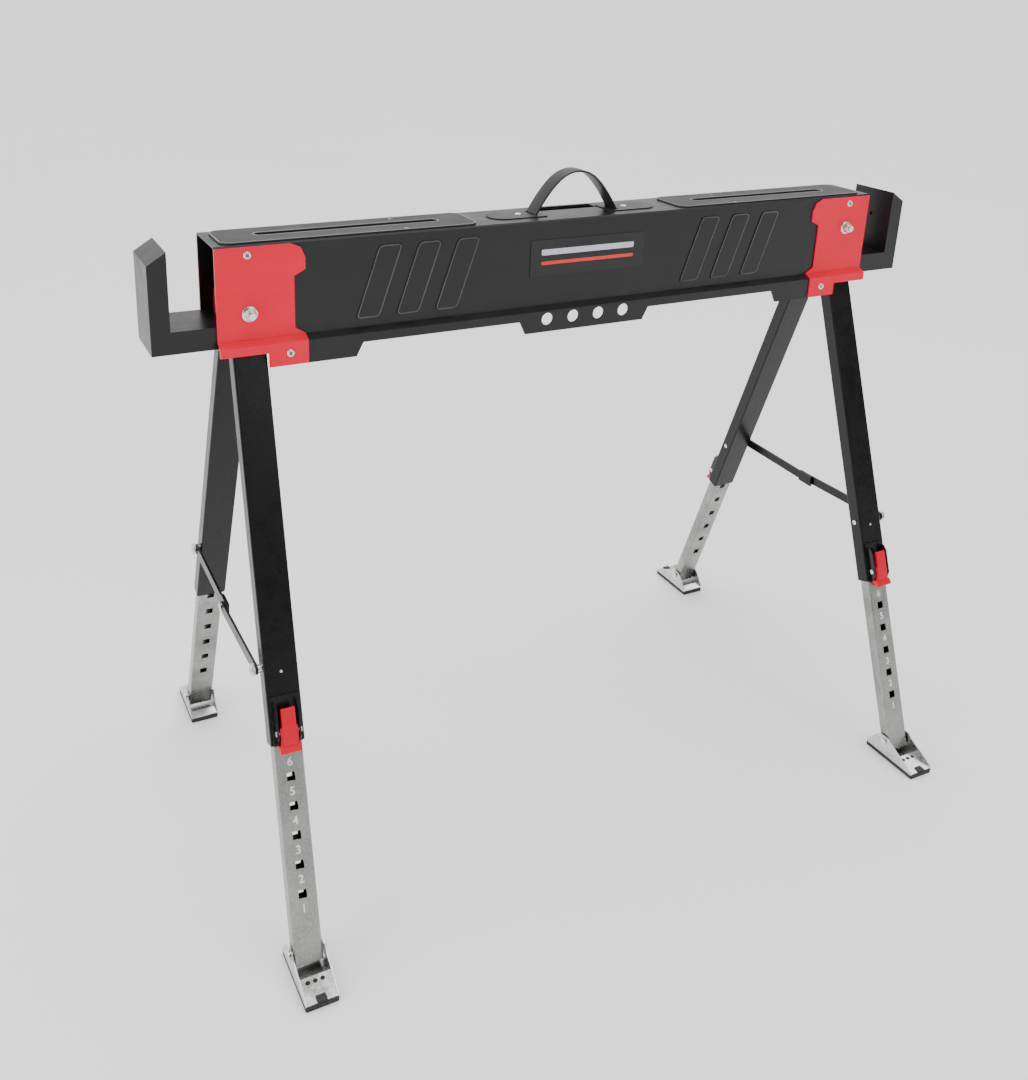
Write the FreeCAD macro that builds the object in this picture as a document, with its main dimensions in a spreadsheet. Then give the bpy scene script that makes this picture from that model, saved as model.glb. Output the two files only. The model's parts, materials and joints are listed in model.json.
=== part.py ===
"""Folding sawhorse: a steel beam on two folding A-frame leg pairs with telescoping legs.

Millimetres. X runs along the beam, Y across it (the front is -Y), Z up.
The origin is on the floor, under the middle of the beam.
"""
import FreeCAD, Part
import math
import os
import re

import Sketcher
from FreeCAD import Placement, Rotation, Vector

doc = FreeCAD.newDocument("folding_sawhorse")

# --------------------------------------------------------------------------
# Driving dimensions
# --------------------------------------------------------------------------
SIZES = {
    # beam: an inverted steel channel with a flared skirt
    "beam_length": 964.0, "beam_width": 78.0, "beam_height": 813.0, "sheet": 2.0,
    "corner_radius": 5.0, "bend_depth": 111.0, "ledge_drop": 5.0, "flare": 10.5,
    "skirt_depth": 127.0, "tab_depth": 144.0, "tab_slope": 9.5,
    "centre_tab_half": 88.5, "end_tab_start": 310.0, "leg_gap_start": 425.0,
    "hole_pitch": 38.6, "hole_radius": 8.2, "hole_depth": 127.0,
    "rib_pitch": 51.5, "rib_width": 28.0, "rib_lean": 29.0, "rib_top": 14.0,
    "rib_bottom": 100.0, "rib_start": 154.5, "rib_height": 1.2,
    # top pads and handle
    "pad_start": 152.0, "pad_end": 472.0, "pad_half_width": 33.0, "pad_thick": 2.0,
    "pad_corner": 12.0, "slot_start": 193.0, "slot_end": 426.0, "slot_width": 14.0,
    "screw_x": 246.0, "screw_y": 26.0, "screw_radius": 3.2,
    "plate_in": 48.0, "plate_out": 124.0, "plate_width": 40.0, "plate_thick": 1.2,
    "strap_foot": 61.0, "strap_rise": 53.0, "strap_radius": 30.0,
    "strap_width": 26.0, "strap_thick": 3.0, "handle_rivet_x": 80.0,
    # end plates, bolts and rivets
    "plate_sheet": 2.0, "lobe_x": 377.5, "waist_x": 391.0, "plate_top": 2.0,
    "plate_step": 126.0, "plate_bottom": 143.0, "lobe_depth": 33.0, "waist_depth": 40.0,
    "lower_waist_depth": 102.0, "lobe_radius": 17.0,
    "top_rivet_in": 37.0, "top_rivet_depth": 11.4, "low_rivet_in": 81.5,
    "low_rivet_depth": 128.7, "rivet_radius": 4.2, "rivet_height": 1.6,
    "bolt_radius": 4.0, "left_bolt_depth": 80.0, "right_bolt_depth": 46.6,
    "nut_across": 13.0, "nut_height": 6.5, "bolt_reach": 5.0,
    # label
    "label_length": 171.0, "label_height": 47.0, "label_depth": 25.0, "label_thick": 0.8,
    # lumber supports
    "support_out": 51.0, "support_thick": 22.0, "support_half": 37.0, "support_wall": 2.0,
    "support_top": 1.5, "support_slope": 14.0, "arm_top": 92.5, "arm_bottom": 118.8,
    "arm_inside": 12.0,
    # leg pairs: the reference level is 90 below the beam's top
    "pair_x": 444.3, "pair_level": 90.0, "pair_tilt": 1.55, "leg_angle": 19.4,
    "leg_offset": 16.0, "leg_width": 40.5, "leg_depth": 20.0, "tube_wall": 1.5,
    "left_pin_station": 5.3, "right_pin_station": -15.0, "leg_top": 8.0,
    "leg_end": 493.0, "inner_top": 385.0, "inner_end": 750.0, "inner_width": 34.4,
    "inner_depth": 16.2, "first_hole": 498.5, "leg_pitch": 34.2, "square": 10.0,
    "pin_radius": 3.0, "running_gap": 0.05,
    # hinge brackets
    "bracket_sheet": 2.5, "bracket_inner": 21.0, "bracket_half": 30.0,
    "bracket_above": 13.0, "cheek_end": 92.0, "tongue_end": 137.0,
    # latch
    "latch_top": 437.0, "ear_top": 443.0, "ear_inner": 12.3, "ear_thick": 2.0,
    "ear_reach": 20.5, "latch_pivot": 478.0, "latch_pivot_out": 15.8,
    "latch_pin": 2.0, "finger_width": 16.5, "wing_width": 21.0, "lip_width": 25.5,
    # feet
    "foot_station": 738.0, "foot_out": 57.0, "foot_in": 31.0, "foot_width": 40.0, "sole_thick": 6.0,
    "foot_sheet": 1.2, "foot_pin": 3.0, "flange_top": 8.0, "apron": 33.0,
    "apron_rise": 6.5, "apron_hole": 27.0, "notch_half": 6.0, "notch_length": 9.0,
    # braces
    "brace_station": 404.0, "brace_drop": 4.0, "brace_length": 150.25,
    "brace_width": 13.0, "brace_thick": 3.0, "brace_eye": 6.45,
    "rear_link_out": 22.0, "front_link_out": 25.3, "stud_radius": 3.0,
}

sheet = doc.addObject("Spreadsheet::Sheet", "dims")
for row, (alias, number) in enumerate(SIZES.items(), start=1):
    sheet.set("A%d" % row, alias)
    sheet.set("B%d" % row, repr(number))
    sheet.setAlias("B%d" % row, alias)
doc.recompute()


def size(alias):
    """The number in the sheet's cell of that name."""
    return float(sheet.get(alias))


def formula(text):
    """A FreeCAD expression, with every cell's name pointed at the sheet."""
    return re.sub(r"[a-z_]{4,}", lambda m: "dims." + m.group() if m.group() in SIZES else m.group(),
                  str(text))


def bind(thing, prop, text):
    thing.setExpression(prop, formula(text))


def add(kind, name):
    return doc.addObject(kind, name)


# --------------------------------------------------------------------------
# Small builders. Lengths and positions are formulas of the sheet's names.
# --------------------------------------------------------------------------
def box(name, length, width, height, x, y, z):
    """A block from its low corner."""
    block = add("Part::Box", name)
    for prop, text in (("Length", length), ("Width", width), ("Height", height),
                       ("Placement.Base.x", x), ("Placement.Base.y", y),
                       ("Placement.Base.z", z)):
        bind(block, prop, text)
    return block


def slab(name, length, width, height, z, y="0"):
    """A block centred in X about 0 and in Y about y, from z up."""
    return box(name, length, width, height, "-(%s) / 2" % length,
               "%s - (%s) / 2" % (y, width), z)


def rod(name, axis, radius, length, x, y, z):
    """A cylinder centred on x, y, z along axis X, Y or Z."""
    shaft = add("Part::Cylinder", name)
    bind(shaft, "Radius", radius)
    bind(shaft, "Height", length)
    turn = {"X": Rotation(Vector(0, 1, 0), 90), "Y": Rotation(Vector(1, 0, 0), -90),
            "Z": Rotation()}[axis]
    shaft.Placement = Placement(Vector(), turn)
    for letter, text in zip("XYZ", (x, y, z)):
        back = " - (%s) / 2" % length if letter == axis else ""
        bind(shaft, "Placement.Base." + letter.lower(), "%s%s" % (text, back))
    return shaft


def hexagon(name, across, height, x, y, z):
    """A nut blank along Y, from y towards +Y."""
    prism = add("Part::Prism", name)
    prism.Polygon = 6
    bind(prism, "Circumradius", "%s / 1.732" % across)
    bind(prism, "Height", height)
    prism.Placement = Placement(Vector(), Rotation(Vector(1, 0, 0), -90))
    for letter, text in zip("xyz", (x, y, z)):
        bind(prism, "Placement.Base." + letter, text)
    return prism


def rounded(block, radius, edges=(1, 3, 5, 7)):
    """A block with its upright edges rounded."""
    fillet = add("Part::Fillet", block.Name + "_round")
    fillet.Base = block
    amount = size(radius) if radius in SIZES else float(radius)
    fillet.Edges = [(edge, amount, amount) for edge in edges]
    return fillet


def prism(name, plane, corners, width, midplane=True, offset="0"):
    """A PartDesign body: a closed outline of (across, up) formulas, padded to width.

    plane is XZ or YZ. Every corner is held by two dimensions bound to the sheet.
    """
    body = add("PartDesign::Body", name)
    sketch = body.newObject("Sketcher::SketchObject", name + "_outline")
    plane_role = plane + "_Plane"
    origin = next(f for f in body.Origin.OriginFeatures if f.Role == plane_role)
    sketch.AttachmentSupport = [(origin, "")]
    sketch.MapMode = "FlatFace"
    bind(sketch, "AttachmentOffset.Base.z", offset)
    count = len(corners)
    points = [Vector(evaluate(a), evaluate(b), 0) for a, b in corners]
    for i in range(count):
        sketch.addGeometry(Part.LineSegment(points[i], points[(i + 1) % count]), False)
    for i in range(count):
        sketch.addConstraint(Sketcher.Constraint("Coincident", i, 2, (i + 1) % count, 1))
    for i, (point, texts) in enumerate(zip(points, corners)):
        for kind, number, text in (("DistanceX", point.x, texts[0]),
                                   ("DistanceY", point.y, texts[1])):
            index = sketch.addConstraint(Sketcher.Constraint(kind, -1, 1, i, 1, number))
            if abs(number) > 1e-6:
                sketch.setExpression("Constraints[%d]" % index, formula(text))
    pad = body.newObject("PartDesign::Pad", name + "_pad")
    pad.Profile = sketch
    bind(pad, "Length", width)
    pad.Midplane = midplane
    body.Tip = pad
    return body


def evaluate(text):
    """The value of a formula of the sheet's names."""
    names = {alias: size(alias) for alias in SIZES}
    total = 0.0
    tree = compile_formula(text)
    for sign, factors in tree:
        product = sign
        for power, factor in factors:
            number = names[factor] if factor in names else float(factor)
            product = product * number if power > 0 else product / number
        total += product
    return total


def compile_formula(text):
    """Splits a sum of products without brackets into signed lists of factors."""
    terms = []
    for sign, term in re.findall(r"([+-]?)\s*([^+-]+)", str(text).replace(" ", "")):
        factors = [(1 if op != "/" else -1, word) for op, word in re.findall(r"([*/]?)([\w.]+)", term)]
        terms.append((-1.0 if sign == "-" else 1.0, factors))
    return terms


def fuse(name, shapes):
    joined = add("Part::MultiFuse", name)
    joined.Shapes = shapes
    return joined


def cut(name, base, tools):
    result = add("Part::Cut", name)
    result.Base = base
    result.Tool = tools[0] if len(tools) == 1 else fuse(name + "_tools", tools)
    return result


def group(name, solids):
    """Separate solids kept in one node."""
    together = add("Part::Compound", name)
    together.Links = solids
    return together


NODES = {}


def node(name, thing, place=None):
    """Names a sub-part and puts it in its place."""
    thing.Label = name
    if place is not None:
        thing.Placement = place
    NODES[name] = thing


# --------------------------------------------------------------------------
# Beam
# --------------------------------------------------------------------------
def channel(name, grow=""):
    """The beam's cross-section, grown or shrunk on every side, and run past the ends."""
    half = "beam_width / 2 " + grow
    wide = half + " + flare"
    top = "beam_height " + grow
    share = grow + " / 2" if grow else ""
    bend = "beam_height - bend_depth " + share
    ledge = bend + " - ledge_drop"
    low = "beam_height - tab_depth" + (" - 1" if grow else "")
    right = [(wide, low), (wide, ledge), (half, bend), (half, top + " - corner_radius / 3"),
             (half + " - corner_radius / 3", top)]
    left = [(mirrored(a), b) for a, b in reversed(right)]
    return prism(name, "YZ", right + left, "beam_length" + (" + 2" if grow else ""))


def mirrored(text):
    """The formula of minus a sum."""
    return "-" + text.replace(" - ", " ~ ").replace(" + ", " - ").replace(" ~ ", " + ")


def skirt_notch(name, near, far, sign):
    """Where the skirt is shallow, with sloped ends."""
    high = "beam_height - skirt_depth"
    low = "beam_height - tab_depth - 2"
    flip = str if sign > 0 else mirrored
    corners = [(flip(near + " + tab_slope"), high), (flip(far), high),
               (flip(far + " + tab_slope"), low), (flip(near), low)]
    return prism(name, "XZ", corners, "beam_width * 2")


def beam_shell():
    tools = [channel("beam_hollow", "- sheet")]
    for sign, side in ((-1, "left"), (1, "right")):
        tools.append(skirt_notch(side + "_skirt_notch", "centre_tab_half", "end_tab_start", sign))
        edge = "leg_gap_start" if sign > 0 else "-beam_length / 2 - 1"
        tools.append(box(side + "_leg_gap", "beam_length / 2 - leg_gap_start + 1",
                         "beam_width * 2", "tab_depth - plate_step + 5", edge, "-beam_width",
                         "beam_height - tab_depth - 5"))
        tools.append(rod(side + "_bolt_hole", "Y", "bolt_radius", "beam_width * 2",
                         "%d * (pair_x - (pair_level - %s_bolt_depth) * 0.027)" % (sign, side),
                         "0", "beam_height - %s_bolt_depth" % side))
    for i in range(4):
        tools.append(rod("skirt_hole_%d" % i, "Y", "hole_radius", "beam_width * 2",
                         "hole_pitch * %.1f" % (i - 1.5), "0", "beam_height - hole_depth"))
    tools.append(box("hand_slot", "2 * plate_in - 6", "20", "10", "-plate_in + 3", "12",
                     "beam_height - 6"))
    ribs = []
    for face, way in (("front", -1), ("rear", 1)):
        for side, start in (("left", "-rib_start - 2 * rib_pitch - rib_width - rib_lean"),
                            ("right", "rib_start")):
            for i in range(3):
                low = "%s + %d * rib_pitch" % (start, i)
                corners = [(low, "beam_height - rib_bottom"),
                           (low + " + rib_width", "beam_height - rib_bottom"),
                           (low + " + rib_width + rib_lean", "beam_height - rib_top"),
                           (low + " + rib_lean", "beam_height - rib_top")]
                offset = "%d * (beam_width / 2 + rib_height / 2)" % -way
                ribs.append(prism("%s_%s_rib_%d" % (side, face, i), "XZ", corners,
                                  "rib_height", offset=offset))
    shell = cut("beam_channel", channel("beam_outside"), tools)
    node("beam_shell", fuse("beam_with_ribs", [shell] + ribs))


def top_pads():
    for sign, side in ((-1, "left"), (1, "right")):
        start = "pad_start" if sign > 0 else "-pad_end"
        block = box(side + "_pad_block", "pad_end - pad_start", "2 * pad_half_width", "pad_thick",
                    start, "-pad_half_width", "beam_height")
        slot_at = "slot_start" if sign > 0 else "-slot_end"
        slot = box(side + "_pad_slot", "slot_end - slot_start", "slot_width", "pad_thick + 2",
                   slot_at, "-slot_width / 2", "beam_height - 1")
        holes = [rod("%s_pad_hole_%d" % (side, i), "Z", "screw_radius", "20", "%d * screw_x" % sign,
                     "%d * screw_y" % way, "beam_height") for i, way in enumerate((-1, 1))]
        node(side + "_top_pad", cut(side + "_pad", rounded(block, "pad_corner"),
                                    [rounded(slot, "6.9")] + holes))


def pad_screws():
    screws = []
    for sign in (-1, 1):
        for way in (-1, 1):
            screws.append(rod("pad_screw_%d" % len(screws), "Z", "screw_radius", "pad_thick - 0.4",
                              "%d * screw_x" % sign, "%d * screw_y" % way,
                              "beam_height + (pad_thick - 0.4) / 2"))
    node("pad_screws", group("pad_screw_set", screws))


def handle():
    """A flexible strap that stands up in an arch, and the plates that hold its ends."""
    plates, rivets = [], []
    for sign, side in ((-1, "left"), (1, "right")):
        start = "plate_in" if sign > 0 else "-plate_out"
        block = box(side + "_handle_block", "plate_out - plate_in", "plate_width", "plate_thick",
                    start, "-plate_width / 2", "beam_height")
        outer_edges = (5, 7) if sign > 0 else (1, 3)
        slot = box(side + "_strap_slot", "2 * strap_thick", "strap_width + 1", "10",
                   "%d * strap_foot - strap_thick" % sign, "-strap_width / 2 - 0.5",
                   "beam_height - 1")
        plates.append(cut(side + "_handle_plate_cut", rounded(block, "19.5", outer_edges), [slot]))
        rivets.append(rod(side + "_handle_rivet", "Z", "rivet_radius", "rivet_height",
                          "%d * handle_rivet_x" % sign, "0",
                          "beam_height + plate_thick + rivet_height / 2"))
    node("handle_plates", group("handle_plate_pair", plates))
    node("handle_rivets", group("handle_rivet_pair", rivets))

    foot, rise, radius = size("strap_foot"), size("strap_rise"), size("strap_radius")
    base = size("beam_height")
    centre = Vector(0, 0, base + rise - radius)
    start = Vector(-foot, 0, base)
    reach = (start - centre).Length
    angle = math.atan2(base - centre.z, -foot) % (2 * math.pi) - math.acos(radius / reach)
    touch = centre + Vector(radius * math.cos(angle), 0, radius * math.sin(angle))
    mirror = Vector(-touch.x, 0, touch.z)
    top = Vector(0, 0, base + rise)
    path = Part.Wire([Part.LineSegment(start, touch).toShape(), Part.Arc(touch, top, mirror).toShape(),
                      Part.LineSegment(mirror, Vector(foot, 0, base)).toShape()])
    ribbon = path.makeOffset2D(size("strap_thick"), 0, True, True)
    strap = add("Part::Feature", "strap_arch")
    strap.Shape = ribbon.extrude(Vector(0, size("strap_width"), 0))
    node("handle_strap", strap, Placement(Vector(0, -size("strap_width") / 2, 0), Rotation()))



def bolt_x(side):
    """Where a fold bolt crosses the beam: it lies in the plane of its leg pair."""
    return "pair_x - (pair_level - %s_bolt_depth) * 0.027" % side


def end_plates():
    """Painted plates over the beam's ends, which carry the fold bolts."""
    rivets = []
    for way, face in ((-1, "front"), (1, "rear")):
        for sign, side in ((-1, "left"), (1, "right")):
            name = "%s_%s_plate" % (side, face)
            flip = str if sign > 0 else mirrored
            top, step, low = ("beam_height - plate_top", "beam_height - plate_step",
                              "beam_height - plate_bottom")
            outline = [("beam_length / 2", top), ("lobe_x + lobe_radius", top),
                       ("lobe_x + lobe_radius * 0.3", "beam_height - plate_top - lobe_radius * 0.3"),
                       ("lobe_x", "beam_height - plate_top - lobe_radius"),
                       ("lobe_x", "beam_height - lobe_depth"),
                       ("waist_x", "beam_height - waist_depth"),
                       ("waist_x", "beam_height - lower_waist_depth"),
                       ("lobe_x + 1", "beam_height - bend_depth + 1"), ("lobe_x + 1", low),
                       ("leg_gap_start", low), ("leg_gap_start", step),
                       ("beam_length / 2", step)]
            flat = prism(name + "_outline", "XZ", [(flip(a), b) for a, b in outline],
                         "beam_width * 2")
            skin = channel(name + "_skin", "+ plate_sheet")
            core = channel(name + "_core")
            half = box(name + "_half", "beam_length * 2", "beam_width", "beam_height",
                       "-beam_length", "0" if way > 0 else "-beam_width", "10")
            common = add("Part::MultiCommon", name + "_common")
            common.Shapes = [flat, cut(name + "_sheet", skin, [core]), half]
            hole = rod(name + "_bolt_hole", "Y", "bolt_radius", "beam_width * 2",
                       "%d * (%s)" % (sign, bolt_x(side)), "0",
                       "beam_height - %s_bolt_depth" % side)
            node("%s_%s_end_plate" % (side, face), cut(name, common, [hole]))
            for x, depth, out in (("top_rivet_in", "top_rivet_depth", "beam_width / 2"),
                                  ("low_rivet_in", "low_rivet_depth", "beam_width / 2 + flare")):
                rivets.append(rod("plate_rivet_%d" % len(rivets), "Y", "rivet_radius",
                                  "rivet_height", "%d * (beam_length / 2 - %s)" % (sign, x),
                                  "%d * (%s + plate_sheet + rivet_height / 2)" % (way, out),
                                  "beam_height - %s" % depth))
    node("end_plate_rivets", group("end_plate_rivet_set", rivets))


def fold_bolts():
    """The bolts across the beam that the leg pairs fold about, and their nuts."""
    bolts, nuts = [], []
    for sign, side in ((-1, "left"), (1, "right")):
        x = "%d * (%s)" % (sign, bolt_x(side))
        z = "beam_height - %s_bolt_depth" % side
        face = "beam_width / 2 + plate_sheet"
        shank = rod(side + "_bolt_shank", "Y", "bolt_radius",
                    "beam_width + 2 * plate_sheet + nut_height + bolt_reach", x,
                    "-(nut_height + bolt_reach) / 2", z)
        head = hexagon(side + "_bolt_head", "nut_across", "nut_height - 1", x, face, z)
        bolts.append(fuse(side + "_fold_bolt", [shank, head]))
        nut = hexagon(side + "_nut_blank", "nut_across", "nut_height", x,
                      "-(%s) - nut_height" % face, z)
        bore = rod(side + "_nut_bore", "Y", "bolt_radius", "40", x, "-(%s)" % face, z)
        nuts.append(cut(side + "_fold_nut", nut, [bore]))
    node("fold_bolts", group("fold_bolt_pair", bolts))
    node("fold_nuts", group("fold_nut_pair", nuts))


def badge_plate():
    """A plain badge plate on the front."""
    node("badge_plate", box("badge", "label_length", "label_thick", "label_height",
                            "-label_length / 2 + 4", "-beam_width / 2 - label_thick",
                            "beam_height - label_depth - label_height"))


def lumber_supports():
    """L-shaped arms of rectangular tube, mitred at the corner, that hold a board's edge."""
    for sign, side in ((-1, "left"), (1, "right")):
        flip = str if sign > 0 else mirrored
        start = "beam_length / 2 - arm_inside"
        inner = "beam_length / 2 + support_out"
        outer = "beam_length / 2 + support_out + support_thick"
        top = "beam_height - support_top"
        skin = [(start, "beam_height - arm_top"), (start, "beam_height - arm_bottom"),
                (outer, "beam_height - arm_bottom"), (outer, top + " - support_slope"),
                (inner, top), (inner, "beam_height - arm_top")]
        w = "support_wall"
        hollow = [(start + " - 1", "beam_height - arm_top - " + w),
                  (start + " - 1", "beam_height - arm_bottom + " + w),
                  (outer + " - " + w, "beam_height - arm_bottom + " + w),
                  (outer + " - " + w, top + " - support_slope - " + w),
                  (inner + " + " + w, top + " - 2 * " + w),
                  (inner + " + " + w, "beam_height - arm_top - " + w)]
        solid = prism(side + "_support_skin", "XZ", [(flip(a), b) for a, b in skin],
                      "2 * support_half")
        void = prism(side + "_support_void", "XZ", [(flip(a), b) for a, b in hollow],
                     "2 * support_half - 2 * support_wall")
        screw_hole = rod(side + "_support_hole", "X", "2.6", "10", "%d * (%s)" % (sign, inner),
                         "0", "beam_height - 40")
        node(side + "_lumber_support", cut(side + "_support", solid, [void, screw_hole]))


# --------------------------------------------------------------------------
# Leg pairs. Each pair leans outwards a little in a frame of its own, whose
# Z runs up the pair's plane and whose X points towards the beam's middle.
# A leg's frame has its origin on the swing pin, Z up the leg and -Y outwards.
# --------------------------------------------------------------------------
def pair_place(turn):
    """The frame of a leg pair: turn is 0 at the left end and 180 at the right."""
    lean = Placement(Vector(-size("pair_x"), 0, size("beam_height") - size("pair_level")),
                     Rotation(Vector(0, 1, 0), size("pair_tilt")))
    return Placement(Vector(), Rotation(Vector(0, 0, 1), turn)) * lean


def leg_place(end, turn, way):
    """The frame of one leg, on its swing pin."""
    lean = math.radians(size("leg_angle"))
    station = size(end + "_pin_station")
    pin = Vector(0, -size("leg_offset") - station * math.sin(lean), -station * math.cos(lean))
    leg = Placement(pin, Rotation(Vector(1, 0, 0), -size("leg_angle")))
    return pair_place(turn) * Placement(Vector(), Rotation(Vector(0, 0, 1), way)) * leg


def down(end, station):
    """The height, in a leg's frame, of a station along the leg."""
    return "%s_pin_station - %s" % (end, station)


def hinge_bracket(end, turn):
    """A folded box that turns on the fold bolt and carries the two swing pins."""
    sheet_x = "bracket_inner + bracket_sheet"
    level = "%s_bolt_depth" % end
    top = "pair_level - %s + bracket_above" % level
    pin_y = "leg_offset + %s_pin_station * 0.332" % end
    pin_z = "-%s_pin_station * 0.943" % end
    cheek_low = "pair_level - cheek_end"
    wall_low = "%s - 11" % pin_z
    inner = box(end + "_inner_wall", "bracket_sheet", "2 * bracket_half",
                "%s - (%s)" % (top, wall_low), "bracket_inner", "-bracket_half", wall_low)
    outer_low = "pair_level - tongue_end"
    outer = box(end + "_outer_wall", "bracket_sheet", "2 * bracket_half",
                "%s - (%s)" % (top, outer_low), "-bracket_inner - bracket_sheet",
                "-bracket_half", outer_low)
    parts = [inner, rounded(outer, "8", (9, 11))]
    for way, face in ((-1, "front"), (1, "rear")):
        low_y = "bracket_half" if way > 0 else "-bracket_half - bracket_sheet"
        parts.append(box("%s_%s_cheek" % (end, face), "2 * (%s)" % sheet_x, "bracket_sheet",
                         "%s - (%s)" % (top, cheek_low), "-(%s)" % sheet_x, low_y, cheek_low))
    holes = [rod(end + "_bracket_bolt_hole", "Y", "bolt_radius + running_gap", "200", "0", "0",
                 "pair_level - " + level)]
    pins = []
    for way, face in ((-1, "front"), (1, "rear")):
        name = "%s_%s_swing_pin" % (end, face)
        spot = ("%d * (%s)" % (way, pin_y), pin_z)
        holes.append(rod(name + "_hole", "X", "pin_radius", "200", "0", *spot))
        shank = rod(name + "_shank", "X", "pin_radius", "2 * (%s)" % sheet_x, "0", *spot)
        heads = [rod("%s_head_%d" % (name, i), "X", "pin_radius + 2", "1.5",
                     "%d * (%s + 0.75)" % (out, sheet_x), *spot) for i, out in enumerate((-1, 1))]
        pins.append(fuse(name, [shank] + heads))
    place = pair_place(turn)
    node(end + "_hinge_bracket", cut(end + "_bracket", fuse(end + "_bracket_sheet", parts), holes),
         place)
    node(end + "_swing_pins", group(end + "_swing_pin_pair", pins), place)


def tube(name, width, depth, wall, low, high):
    """A rectangular tube along Z from low to high."""
    length = "(%s) - (%s)" % (high, low)
    outside = rounded(slab(name + "_outside", width, depth, length, low), "2")
    inside = slab(name + "_inside", "(%s) - 2 * (%s)" % (width, wall),
                  "(%s) - 2 * (%s)" % (depth, wall), length + " + 2", low + " - 1")
    return outside, inside


def outboard(way):
    """The side of a leg's X that points to the end of the beam."""
    return 1 if way else -1


def outer_leg(name, end, way, place):
    outside, inside = tube(name, "leg_width", "leg_depth", "tube_wall", down(end, "leg_end"),
                           "leg_top")
    window = box(name + "_window", "17", "leg_depth / 2", "60", "-8.5", "-leg_depth / 2 - 1",
                 down(end, "leg_end") + " - 6")
    pin_hole = rod(name + "_pin_hole", "X", "pin_radius + running_gap", "100", "0", "0", "0")
    stud_hole = rod(name + "_stud_hole", "X", "stud_radius", "10",
                    "%d * leg_width / 2" % outboard(way), "0", down(end, "brace_station"))
    corner = prism(name + "_corner", "YZ", [("leg_depth / 2 - 4", "leg_top + 1"),
                                            ("leg_depth / 2 + 2", "leg_top + 1"),
                                            ("leg_depth / 2 + 2", "leg_top - 10")], "100")
    node(name, cut(name + "_tube", outside, [inside, window, pin_hole, stud_hole, corner]), place)


def latch(name, end, place):
    """The housing on the leg's outer face, and the sprung lever between its ears."""
    def at(station):
        return down(end, station)

    low = at("leg_end")
    base = box(name + "_base", "35", "1.5", "leg_end - latch_top", "-17.5",
               "-leg_depth / 2 - 1.5", low)
    window = box(name + "_base_window", "17", "10", "60", "-8.5", "-leg_depth / 2 - 5",
                 low + " - 6")
    back = "-leg_depth / 2 - 1.4"
    outline = [(back, at("ear_top")), ("-ear_reach + 4", at("ear_top")),
               ("-ear_reach", at("ear_top") + " - 8"), ("-ear_reach", low + " + 9"),
               ("-ear_reach + 4", low + " + 2"), (back, low + " + 2")]
    ears = [prism("%s_ear_%d" % (name, i), "YZ", outline, "ear_thick",
                  offset="%d * (ear_inner + ear_thick / 2)" % side)
            for i, side in enumerate((-1, 1))]
    pivot = ("0", "-latch_pivot_out", at("latch_pivot"))
    hole = rod(name + "_hole", "X", "latch_pin", "60", *pivot)
    sheet_metal = fuse(name + "_sheet", [cut(name + "_base_cut", base, [window])] + ears)
    node(name + "_housing", cut(name + "_bracket", sheet_metal, [hole]), place)

    finger = prism(name + "_finger", "YZ",
                   [("-19.5", at("450")), ("-21.5", at("449")), ("-22.8", at("452")),
                    ("-22.8", at("470")), ("-21.5", at("492")), ("-12.4", at("492")),
                    ("-12.4", at("484")), ("-14.5", at("474"))], "finger_width")
    wings = prism(name + "_wings", "YZ",
                  [("-19.5", at("471")), ("-20.8", at("476")), ("-20", at("492")),
                   ("-12.6", at("492")), ("-12.6", at("486")), ("-14.5", at("474"))],
                  "wing_width")
    tooth = prism(name + "_tooth", "YZ",
                  [("-19.5", at("489")), ("-19.5", at("500")), ("-14", at("503")),
                   ("-8.6", at("503")), ("-8.6", at("495")), ("-12.4", at("495")),
                   ("-12.4", at("489"))], "9")
    flare = prism(name + "_flare", "YZ",
                  [("-20.4", at("492")), ("-23", at("500")), ("-20.6", at("501.5")),
                   ("-13", at("497")), ("-13", at("492"))], "lip_width")
    bore = rod(name + "_bore", "X", "latch_pin + running_gap", "60", *pivot)
    lever = fuse(name + "_lever_parts", [finger, wings, tooth, flare])
    node(name + "_lever", cut(name + "_lever_cut", lever, [bore]), place)


def link_layer(face):
    """How far outboard of its pair's plane a leg's brace link lies."""
    return "front_link_out" if face == "front" else "rear_link_out"


def leg_hardware(name, end, face, way, place):
    """What is fastened to an outer leg: the latch's pivot pin and the brace's stud."""
    pivot = ("-latch_pivot_out", down(end, "latch_pivot"))
    pin = [rod(name + "_latch_pin", "X", "latch_pin", "2 * (ear_inner + ear_thick)", "0", *pivot)]
    for i, side in enumerate((-1, 1)):
        pin.append(rod("%s_latch_pin_head_%d" % (name, i), "X", "latch_pin + 1.4", "1.2",
                       "%d * (ear_inner + ear_thick + 0.6)" % side, *pivot))
    spot = ("0", down(end, "brace_station"))
    near, far = "leg_width / 2 - tube_wall", link_layer(face) + " + brace_thick + 0.3"
    seat = link_layer(face) + " - 0.2"
    way_out = outboard(way)
    stud = [rod(name + "_stud", "X", "stud_radius", "%s - (%s)" % (far, near),
                "%d * (%s + %s) / 2" % (way_out, far, near), *spot),
            rod(name + "_collar", "X", "stud_radius + 2", "%s - leg_width / 2" % seat,
                "%d * (%s + leg_width / 2) / 2" % (way_out, seat), *spot),
            rod(name + "_stud_head", "X", "stud_radius + 3.5", "4",
                "%d * (%s + 2)" % (way_out, far), *spot)]
    rivet = rod(name + "_inboard_rivet", "X", "3.5", "1.2", "%d * (leg_width / 2 + 0.6)" % -way_out,
                *spot)
    node(name + "_hardware", group(name + "_hardware_set", [
        fuse(name + "_latch_pivot_pin", pin), fuse(name + "_brace_stud", stud), rivet]), place)


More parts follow.
